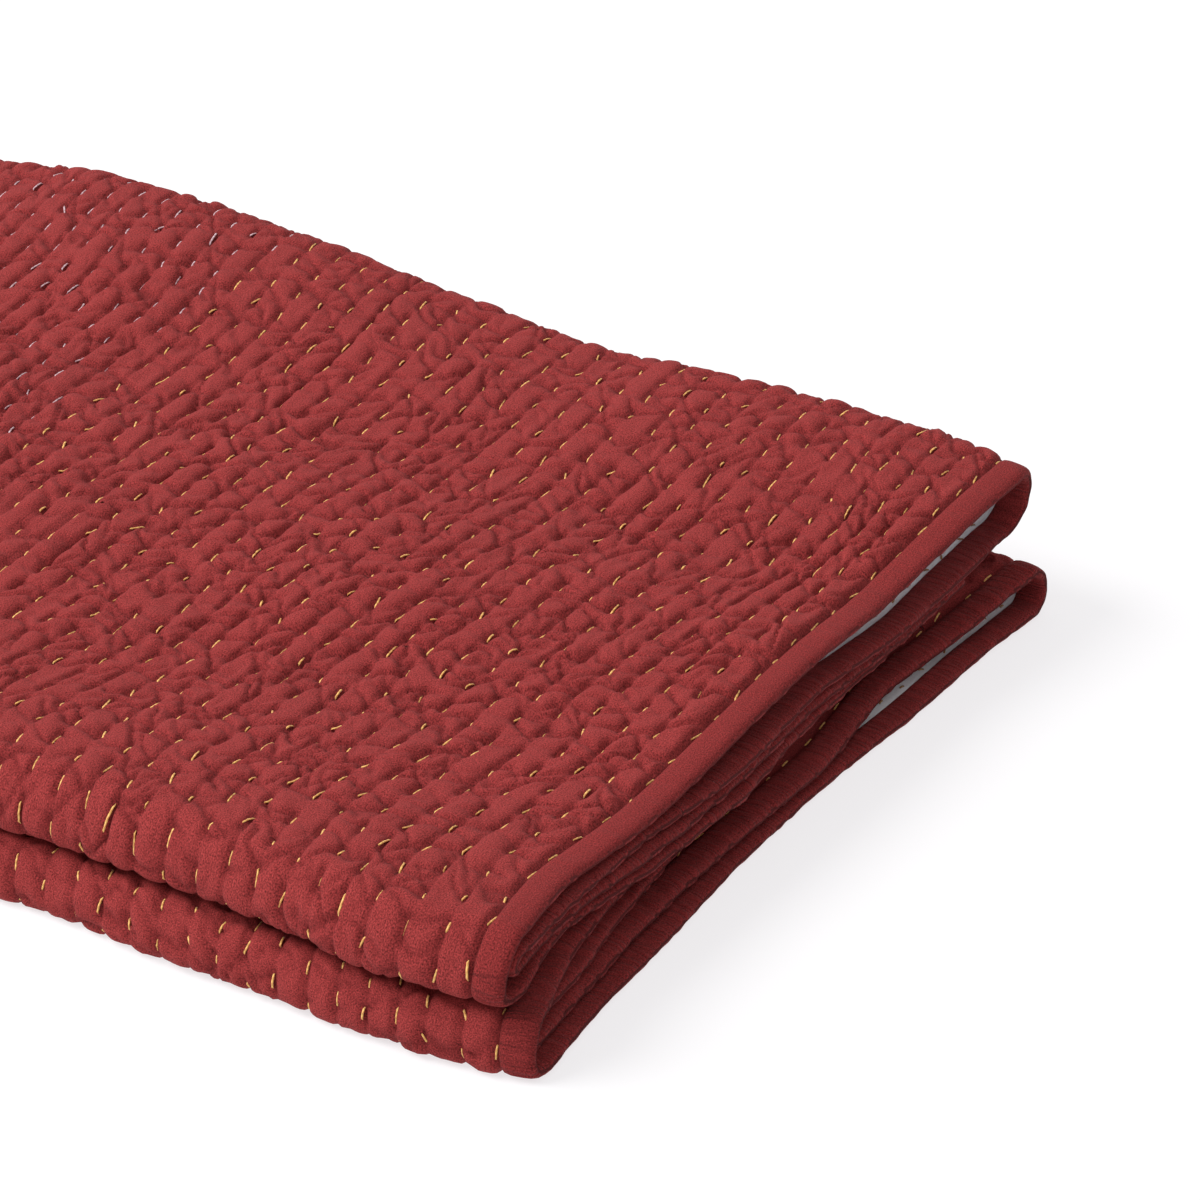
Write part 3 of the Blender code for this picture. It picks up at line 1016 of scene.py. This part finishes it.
@dataclass
class QuiltCloth(Sewing):
    """The red face and the white back of the throw."""

    tucked: float = 2.0
    tucked_at_hem: float = 3.5
    back_lift: float = 0.7
    back_puff: float = 1.0
    # the rows that the panels end on: of the top, from finer to coarser, and of the back's hems
    fine_end: int = 22
    middle_end: int = 42
    bend_row: int = 67
    back_hem_rows: int = 4
    # the paths that they end on: the top layer's sides and middle, and the lower pack's turns
    top_layer: Pair = (-22.0, 370.0)
    centre: float = 150.0
    floor_layer: Pair = (18.0, 310.0)
    loop_end: float = 400.0

    def standing(self, height: Array, kept: Array, is_face: bool) -> Array:
        """How far a side stands from the cloth's middle, towards the red face: less than 0 on the back."""
        return height if is_face else -(self.back_lift + self.back_puff * kept)

    def panel(self, panel: Panel, is_face: bool) -> bpy.types.Object:
        """Make one panel of the face or the back.

        Args:
            panel: where it lies on the flat cloth.
            is_face: whether it is on the red side.

        Returns:
            The panel.
        """
        # some lines to each row, so that each sewn groove has a line of its own
        first, step = self.quilting.binding_width, self.quilting.pitch / panel.lines_to_row
        start, end = (round((a - first) / step) for a in panel.along)
        alongs = first + np.arange(start, end + 1) * step
        count = max(2, round((panel.path[1] - panel.path[0]) / panel.path_step) + 1)
        path, along = np.meshgrid(np.linspace(*panel.path, count), alongs)
        height, kept = self.quilting.relief(path, along)
        moved = along + self.quilting.wandering(path, along)
        waves = self.quilting.waves(path, along) * self.on_top(path, along)
        points = self.throw.at(path, moved, self.standing(height, kept, is_face) + waves)
        # kept also sets the shader's painted shade in the grooves and the lighter crests, partly rubbed and
        # partly painted highlight
        item = new_piece(panel.name, points, grid_faces(*path.shape, is_turned=not is_face),
                         self.wardrobe.face if is_face else self.wardrobe.back,
                         {"flat_mm": on_flat(path, moved), "kept": kept})
        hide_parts("quilt")
        return item

    def on_top(self, path: Array, along: Array) -> Array:
        """How much of the slow waves a place takes.

        Args:
            path: places across the throw.
            along: places along it.

        Returns:
            A share for each place, from 1 on the top layer to 0 below it.
        """
        start, end = self.throw.starts["over"], self.throw.starts["loop"]
        across = eased((path - start + 5) / 40) * eased((end - path + 5) / 40)
        return across * eased((self.throw.bend_start - along) / self.quilting.rolling_ease)

    def build(self) -> list[bpy.types.Object]:
        """Make every panel of both sides."""
        throw, seam_of = self.throw, self.quilting.seam_of
        low, high = throw.first_edge + self.tucked, throw.last_edge - self.tucked
        near, far = self.top_layer
        top, bottom = self.tucked_at_hem, throw.length - self.tucked_at_hem
        halfway, split, start = (seam_of(row) for row in (self.fine_end, self.middle_end, self.bend_row))
        end = throw.length - start
        shown = seam_of(self.back_hem_rows)
        floor = self.floor_layer
        face = (
            Panel("face_top_front", (near, self.centre), (top, halfway), 0.95, 11),
            Panel("face_top_far", (self.centre, far), (top, halfway), 0.95, 11),
            Panel("face_middle_near", (near, self.centre + 1), (halfway, split), 1.6, 6),
            Panel("face_middle_far", (self.centre, far), (halfway, split), 1.05, 10),
            Panel("face_top_back", (near, far), (split, start), 2.0, 6),
            Panel("face_upper_under", (far, high), (top, start)),
            Panel("face_upper_bottom", (low, near), (top, start)),
            Panel("face_bend", (near, far), (start, end), 1.8, 6),
            Panel("face_bend_inner", (far, high), (start, end)),
            Panel("face_bend_bottom", (low, near), (start, end)),
            Panel("face_lower_near_turn", (near, floor[0]), (end, bottom), 1.6, 7),
            Panel("face_floor", floor, (end, bottom), 4.2, 3),
            Panel("face_lower_far_loop", (floor[1], self.loop_end), (end, bottom), 1.7, 6),
            Panel("face_lower_over", (self.loop_end, high), (end, bottom)),
            Panel("face_lower_top", (low, near), (end, bottom)),
        )
        back = (
            Panel("back_upper_hem", (low, high), (top, shown), 3.5, 4),
            Panel("back_upper", (low, high), (shown, start), 8.0, 2),
            Panel("back_bend", (low, high), (start, end), 8.0, 3),
            Panel("back_lower", (low, high), (end, throw.length - shown), 8.0, 2),
            Panel("back_lower_hem", (low, high), (throw.length - shown, bottom), 3.5, 4),
        )
        return [self.panel(p, True) for p in face] + [self.panel(p, False) for p in back]


class Edge(Enum):
    """The four edges of the throw, and the CAD node of the binding on each."""

    TOP_HEM = "binding_hem_top"
    BOTTOM_HEM = "binding_hem_bottom"
    FIRST_EDGE = "binding_edge_first"
    SECOND_EDGE = "binding_edge_second"


@dataclass
class Binding(Sewing):
    """The strip of red cotton folded over an edge of the throw."""

    step: float = 1.2
    coarser_on_edges: int = 3
    # inward from the edge, and away from the middle of the cloth: the face side, the edge, the back side
    profile: tuple[Pair, ...] = (
        (11.0, -0.1), (10.7, 0.3), (10.3, 1.1), (9.6, 1.7), (8.2, 2.05), (6.3, 2.15), (4.5, 2.15),
        (2.6, 2.0), (1.2, 1.6), (0.35, 0.95), (0.0, 0.1), (0.2, -0.85), (1.0, -1.5), (2.4, -1.85),
        (4.5, -2.0), (6.8, -2.0), (9.0, -1.85), (10.3, -1.5), (11.1, -1.0), (11.5, -0.3),
    )
    strip_width: float = 26.0
    corner_gap: float = 0.4
    # how much narrower the strip is on the back than on the face: at places across the throw
    back_paths: Table = (-60, 40, 120, 175, 300, 340, 372, 400, 430, 560, 600)
    back_widths: dict[Edge, Table] = field(default_factory=lambda: {
        Edge.TOP_HEM: (0.9, 0.9, 0.8, 0.7, 0.8, 0.95, 1.0, 1.0, 0.90, 0.88, 0.9),
        Edge.BOTTOM_HEM: (0.9, 0.95, 0.9, 0.84, 0.86, 0.95, 1.0, 0.9, 0.8, 0.8, 0.8),
    })
    # how strongly the strip ripples, little on the top layer's hem and more further down: by place
    ripples: dict[Edge, tuple[Table, Table]] = field(default_factory=lambda: {
        Edge.TOP_HEM: ((-60, -14, 10, 325, 345, 380, 560, 600, 680),
                       (1.1, 0.9, 0.5, 0.5, 1.1, 0.5, 0.6, 0.9, 1.1)),
        Edge.BOTTOM_HEM: ((-60, -20, 10, 330, 345, 400, 560, 600, 680),
                          (1.0, 0.8, 0.5, 0.5, 1.1, 0.6, 0.8, 1.0, 1.1)),
    })
    # what the ripples do at the edge, inward and in height, and what they do to the strip's body
    ripple_reach: float = 9.0
    ripple_inward: float = 0.6
    ripple_lift: float = 0.42
    uneven_body: float = 0.10
    uneven_seam: float = 0.16
    flat_height: float = 1.5
    crest_height: float = 1.9
    # the shader's crinkles, bumped and darkened with painted shade: hardly any on the top layer's hem
    smooth_run: Pair = (0.0, 330.0)
    smooth_crinkles: float = 0.15

    def crinkled(self, edge: Edge, run: Array) -> Array:
        """How much the strip is crinkled across, from 0 to 1."""
        is_smooth = (edge is Edge.TOP_HEM) & (run > self.smooth_run[0]) & (run < self.smooth_run[1])
        return np.where(is_smooth, self.smooth_crinkles, 1.0)

    def build(self, edge: Edge, seed: int) -> bpy.types.Object:
        """Make the strip of one edge.

        Args:
            edge: the edge that it covers.
            seed: the number of its own unevenness.

        Returns:
            The strip.
        """
        throw, is_hem = self.throw, edge in self.ripples
        width = self.quilting.binding_width + self.corner_gap
        first, last = (throw.first_edge, throw.last_edge) if is_hem else (width, throw.length - width)
        step = self.step if is_hem else self.coarser_on_edges * self.step
        run_line = np.linspace(first, last, round((last - first) / step) + 1)
        inward_line, lift_line = np.array(self.profile).T
        run, inward = np.meshgrid(run_line, inward_line, indexing="ij")
        zeros = np.zeros_like(run)
        ripple, sway = Lumps(seed, 3.7, 9.0), Lumps(seed + 1, 17.0, 30.0)
        amount = np.interp(run, *self.ripples[edge]) if is_hem else np.ones_like(run)
        outer = eased(1 - inward / self.ripple_reach)
        waves = ripple.at(run, zeros) * 0.6 + sway.at(run, zeros) * 0.7
        inward = inward + amount * outer * self.ripple_inward * waves
        body = np.minimum(np.abs(lift_line), self.flat_height) / self.flat_height
        lift = lift_line * (1 + self.uneven_body * ripple.at(run * 1.3, inward * 1.2) * body)
        lift = lift + amount * outer * self.ripple_lift * ripple.at(run + 40.0, inward * 0.7)
        lift = lift + self.uneven_seam * body * (1 - outer) * sway.at(run * 2.2, inward + 40.0) * amount
        if is_hem:
            narrowed = inward * np.interp(run, self.back_paths, self.back_widths[edge])
            inward = np.where(lift_line < 0, narrowed, inward)
        # kept is least along the folded edge and where the strip meets the cloth: the shader paints shade
        # there, and lightens the flat tops, partly rubbed and partly painted highlight
        kept = np.clip(np.abs(lift_line) / self.crest_height, 0.15, 1.0)
        extras = {
            "flat_mm": on_flat(run, inward + 500.0 * (lift < 0)),
            "kept": np.broadcast_to(kept, run.shape),
            "crinkled": self.crinkled(edge, run),
        }
        start, way = {Edge.TOP_HEM: (0.0, 1), Edge.BOTTOM_HEM: (throw.length, -1),
                      Edge.FIRST_EDGE: (throw.first_edge, 1), Edge.SECOND_EDGE: (throw.last_edge, -1)}[edge]
        across = start + way * inward
        points = throw.at(*((run, across) if is_hem else (across, run)), lift)
        faces = grid_faces(*run.shape, is_turned=edge in (Edge.BOTTOM_HEM, Edge.FIRST_EDGE))
        item = new_piece(edge.value + "_strip", points, faces, self.wardrobe.binding, extras)
        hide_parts(edge.value)
        return item


@dataclass(frozen=True)
class Sewn:
    """A stretch of the flat cloth whose stitches are made, on one of its sides."""

    path: Pair
    rows: tuple[int, int]
    is_face: bool = True


@dataclass
class Stitching(Sewing):
    """The stitches that show: dashes of thread on the face, and small dots on the back."""

    cloth: QuiltCloth
    thickness: float = 0.76
    flatness: float = 0.8
    sides: int = 5
    # the rings of a stitch: where each lies on its length, how high, and how thick
    rings: Table = (0.0, 0.14, 0.5, 0.86, 1.0)
    ring_lifts: Table = (-0.45, 0.05, 0.16, 0.05, -0.45)
    ring_sizes: Table = (0.55, 0.95, 1.0, 0.95, 0.55)
    dot_length: float = 2.3
    dots_from_hem: float = 11.9
    clear_of_edges: float = 15.0
    # the rows of gold thread, and one where the thread changes; the rest is rose
    gold_rows: tuple[tuple[int, int], ...] = ((0, 26), (61, 81), (116, 142))
    part_changed_row: int = 27
    changed_at: float = 300.0
    twists_to_mm: float = 0.55

    def is_gold(self, row: Array, path: Array) -> Array:
        """Whether each stitch on the face is of gold thread, and not of rose."""
        whole = [(row >= first) & (row <= last) for first, last in self.gold_rows]
        return np.any(whole, axis=0) | ((row == self.part_changed_row) & (path < self.changed_at))

    def chosen(self, sewn: Sewn) -> tuple[Array, Array]:
        """Pick the stitches of a stretch.

        Args:
            sewn: the stretch.

        Returns:
            Their rows, and their numbers in their rows.
        """
        rows, stitches = np.meshgrid(np.arange(sewn.rows[0], sewn.rows[1] + 1),
                                     np.arange(self.quilting.columns), indexing="ij")
        start = self.quilting.stitch_start[rows, stitches]
        end = start + self.quilting.stitch_size[rows, stitches]
        keep = (start > max(sewn.path[0], self.throw.first_edge + self.clear_of_edges)) & \
               (end < min(sewn.path[1], self.throw.last_edge - self.clear_of_edges))
        return rows[keep], stitches[keep]

    def lay(self, sewn: Sewn) -> dict[Tint, tuple[Array, Array, Array]]:
        """Lay the stitches of a stretch.

        Args:
            sewn: the stretch.

        Returns:
            For each tint: positions of (stitch, ring, side), places on the flat cloth, and twist.
        """
        quilting = self.quilting
        row, stitch = self.chosen(sewn)
        start, size = quilting.stitch_start[row, stitch], quilting.stitch_size[row, stitch]
        line = quilting.seam_of(row[:, None])
        sunk = quilting.stitch_sink[row, stitch][:, None]
        if not sewn.is_face:
            start = start + size + (quilting.stitch_pitch - size - self.dot_length) / 2
            size = np.full_like(size, self.dot_length)
            inward = self.dots_from_hem - quilting.binding_width
            line = line + inward * (row[:, None] == 0) - inward * (row[:, None] == quilting.rows - 1)
            sunk = 0.0
        path = start[:, None] + size[:, None] * np.array(self.rings)
        skew = quilting.stitch_skew[row, stitch]
        along = line + mixed(skew[:, :1], skew[:, 1:], np.array(self.rings))
        ground = self.cloth.standing(*quilting.relief(path, along), sewn.is_face)
        moved = along + quilting.wandering(path, along)
        outward = 1.0 if sewn.is_face else -1.0
        lift = (ground.mean(axis=1, keepdims=True) + ground) / 2 + \
            outward * (np.array(self.ring_lifts) + sunk) + \
            quilting.waves(path, along) * self.cloth.on_top(path, along)
        centre = self.throw.at(path, moved, lift)
        facing = self.throw.facing(path, moved)
        beside = normalized(np.cross(normalized(np.gradient(centre, axis=1)), facing))
        angle = TURN * np.arange(self.sides)[:, None] / self.sides
        around = beside[:, :, None] * np.cos(angle) + facing[:, :, None] * (self.flatness * np.sin(angle))
        points = centre[:, :, None] + around * np.array(self.ring_sizes)[:, None, None] * self.thickness / 2
        flat = on_flat(path, moved)[:, :, None].repeat(self.sides, 2)
        twist = (path * self.twists_to_mm)[:, :, None] + np.arange(self.sides) / self.sides
        if not sewn.is_face:
            return {Tint.OCHRE: (points, flat, twist)}
        gold = self.is_gold(row, path[:, 2])
        return {tint: (points[of], flat[of], twist[of])
                for tint, of in ((Tint.GOLD, gold), (Tint.ROSE, ~gold))}

    def build(self, stretches: Iterable[Sewn]) -> list[bpy.types.Object]:
        """Make every stitch.

        Args:
            stretches: the stretches of cloth whose stitches are made.

        Returns:
            One piece for each tint.
        """
        laid: dict[Tint, list[tuple[Array, Array, Array]]] = {}
        for sewn in stretches:
            for tint, parts in self.lay(sewn).items():
                laid.setdefault(tint, []).append(parts)
        # the quads close round each stitch, and its ends stay open, inside the cloth
        ring, side = np.divmod(grid_faces(len(self.rings), self.sides + 1), self.sides + 1)
        around = ring * self.sides + side % self.sides
        items = []
        for tint, parts in laid.items():
            points, flat, twist = (np.concatenate(group) for group in zip(*parts))
            first = np.arange(len(points))[:, None, None] * len(self.rings) * self.sides
            items.append(new_piece(f"stitches_{tint.value}", points, (first + around).reshape(-1, 4),
                                   self.wardrobe.threads[tint], {"flat_mm": flat, "twist": twist}))
        return items


def aimed(place: Sequence[float], ahead: Sequence[float]) -> Matrix:
    """Where a camera or lamp stands that looks in a direction."""
    return Matrix.Translation(place) @ Vector(ahead).to_track_quat("-Z", "Y").to_matrix().to_4x4()


@dataclass
class Studio:
    """The camera, the pale floor and the soft light from the upper left."""

    camera_at: Triple = (580.18, -913.17, 694.31)
    camera_along: Triple = (-0.45938, 0.76470, -0.45189)
    roll: float = 0.23
    lens: float = 136.12
    sensor: float = 36.0
    view_end: float = 100.0
    floor_size: float = 14.0
    floor_colour: Colour = (0.30, 0.30, 0.302)
    floor_glow: float = 0.72
    glow_colour: Colour = (1.0, 0.985, 1.0)
    key_at: Triple = (-2.1, -1.25, 2.65)
    key_size: float = 2.6
    key_power: float = 144.0
    sky: float = 0.58

    def camera(self, shift: Array) -> None:
        """Place the camera where the photograph was taken from.

        Args:
            shift: the stack's near corner at the hems.
        """
        data = bpy.data.cameras.new("camera")
        data.lens, data.sensor_width, data.clip_end = self.lens, self.sensor, self.view_end
        place = aimed((np.array(self.camera_at) + shift) * MM, self.camera_along)
        roll = Matrix.Rotation(math.radians(self.roll), 4, "Z")
        bpy.context.scene.camera = new_object("camera", data, place @ roll)

    def floor(self) -> None:
        """Lay the pale floor."""
        half = self.floor_size / 2
        corners = [(-half, -half, 0), (half, -half, 0), (half, half, 0), (-half, half, 0)]
        mesh = bpy.data.meshes.new("floor")
        mesh.from_pydata(corners, [], [(0, 1, 2, 3)])
        shade = Shade("floor_paint")
        soft = shade.noise(shade.node("TexCoord", {}, {}, "Object"), 1.3)
        paint = shade.mix(soft, opaque(self.floor_colour, 0.99), opaque(self.floor_colour))
        shade.feed(Base_Color=paint, Roughness=0.9, Specular_IOR_Level=0.1,
                   Emission_Color=opaque(self.glow_colour), Emission_Strength=self.floor_glow)
        mesh.materials.append(shade.material)
        item = new_object("floor", mesh)

    def lights(self) -> None:
        """Hang the large soft lamp, and fill the room with even light."""
        lamp = bpy.data.lights.new("key", "AREA")
        lamp.shape, lamp.size, lamp.energy = "DISK", self.key_size, self.key_power
        new_object("key", lamp, aimed(self.key_at, -Vector(self.key_at)))
        world = bpy.data.worlds.new("room")
        world.use_nodes = True
        room = world.node_tree.nodes["Background"].inputs
        room["Color"].default_value, room["Strength"].default_value = (1.0, 1.0, 1.0, 1.0), self.sky
        bpy.context.scene.world = world
        bpy.context.scene.view_settings.view_transform = "Standard"


def main() -> None:
    """Fold the throw, dress it, light it and log how many pieces and triangles it came out as."""
    logging.basicConfig(level=logging.INFO, format="%(message)s")
    throw = FoldedThrow()
    quilting = Quilting(throw)
    studio = Studio()
    studio.camera(throw.shift)
    studio.floor()
    studio.lights()
    wardrobe = Wardrobe()
    cloth = QuiltCloth(throw, quilting, wardrobe)
    items = cloth.build()
    binding = Binding(throw, quilting, wardrobe)
    for number, edge in enumerate(Edge):
        items.append(binding.build(edge, 40 + 2 * number))
    last = quilting.rows - 1
    items += Stitching(throw, quilting, wardrobe, cloth).build((
        Sewn((-22.0, 372.0), (0, 75)),
        Sewn((-22.0, 24.0), (76, last)),
        Sewn((300.0, 400.0), (76, last)),
        Sewn((400.0, 660.0), (last - 3, last)),
        Sewn((330.0, 660.0), (0, 4), is_face=False),
        Sewn((10.0, 320.0), (last - 4, last), is_face=False),
    ))
    log.info("%d pieces, %d triangles", len(items), sum(triangles(item) for item in items))


if __name__ == "__main__":
    main()
